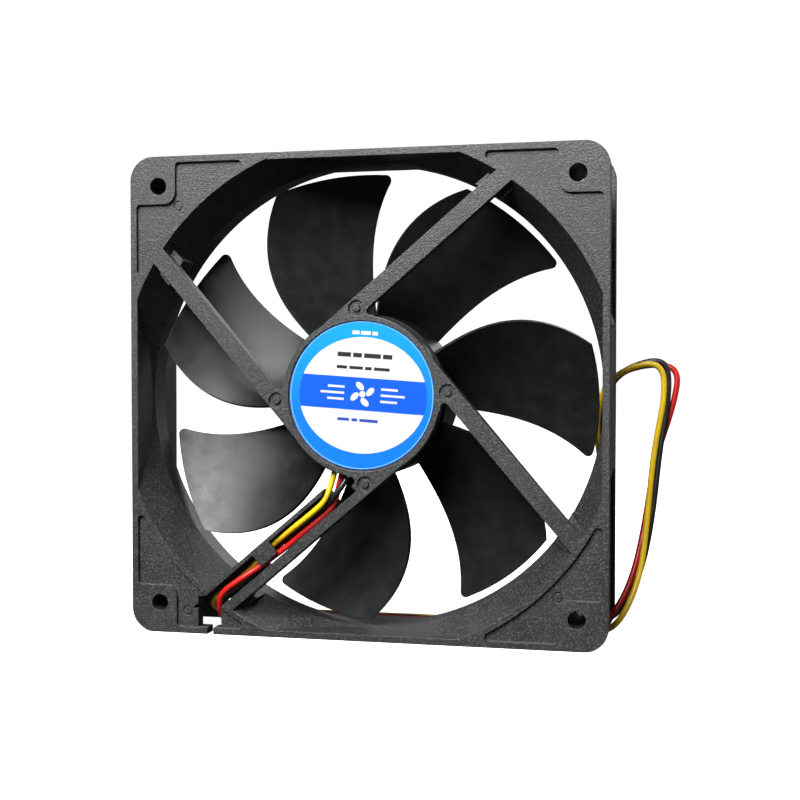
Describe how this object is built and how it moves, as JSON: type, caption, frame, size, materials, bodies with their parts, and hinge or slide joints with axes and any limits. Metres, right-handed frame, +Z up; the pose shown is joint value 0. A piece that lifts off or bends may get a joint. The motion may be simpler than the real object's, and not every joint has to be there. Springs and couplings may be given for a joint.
{
  "type": "case fan",
  "caption": "Square axial fan for cooling a computer case, with a bladed rotor, open-corner frame, sleeve-bearing motor and loose leads ending in a plug.",
  "frame": {"origin": "middle of the lower edge, on the floor, half way through the depth", "axes": "+Z up, -Y towards the strut and label side, +X to the right seen from there"},
  "size_m": [0.1358, 0.0415, 0.12],
  "materials": {
    "frame_plastic": "fine spark texture, satin black",
    "impeller_plastic": "smooth satin black",
    "sintered_bronze": "porous, oiled",
    "felt": "oiled felt",
    "nylon_white": "natural nylon",
    "rubber_black": "soft, matt",
    "label_paper": "gloss laminated print, blue band on white",
    "electrical_steel": "stacked laminations",
    "enamelled_copper": "wound wire, enamelled",
    "tinned_metal": "tinned",
    "board_laminate": "green solder mask",
    "component_black": "moulded epoxy",
    "component_tan": "ceramic body, tinned ends",
    "zinc_steel": "drawn, zinc plated",
    "bonded_ferrite": "flexible magnet strip",
    "ground_steel": "ground and polished",
    "brass": "turned",
    "pvc_yellow": "extruded insulation",
    "pvc_red": "extruded insulation",
    "pvc_black": "extruded insulation",
    "plug_nylon": "natural nylon"
  },
  "bodies": {
    "root": {"frame": "frame_plastic", "sleeve_bearing": "sintered_bronze", "oil_seal": "felt", "thrust_washer": "nylon_white", "bearing_plug": "rubber_black", "base_label": "label_paper", "stator_core": "electrical_steel", "front_bobbin": "nylon_white", "rear_bobbin": "nylon_white", "stator_coils": "enamelled_copper", "terminal_pins": "tinned_metal", "circuit_board": "board_laminate", "hall_sensor": "component_black", "driver_chip": "component_black", "capacitor": "component_tan", "resistors": "component_black", "diode": "component_black", "lead_solder": "tinned_metal", "lead_yellow": "pvc_yellow", "lead_red": "pvc_red", "lead_black": "pvc_black", "plug_housing": "plug_nylon", "plug_terminals": "tinned_metal"},
    "rotor": {"impeller": "impeller_plastic", "rotor_yoke": "zinc_steel", "magnet_ring": "bonded_ferrite", "shaft": "ground_steel", "shaft_boss": "brass", "retaining_ring": "nylon_white"}
  },
  "joints": [
    {"name": "rotor_spin", "type": "hinge", "parent": "root", "child": "rotor", "pos_m": [0, 0, 0.06], "axis": [0, -1, 0], "continuous": true}
  ]
}
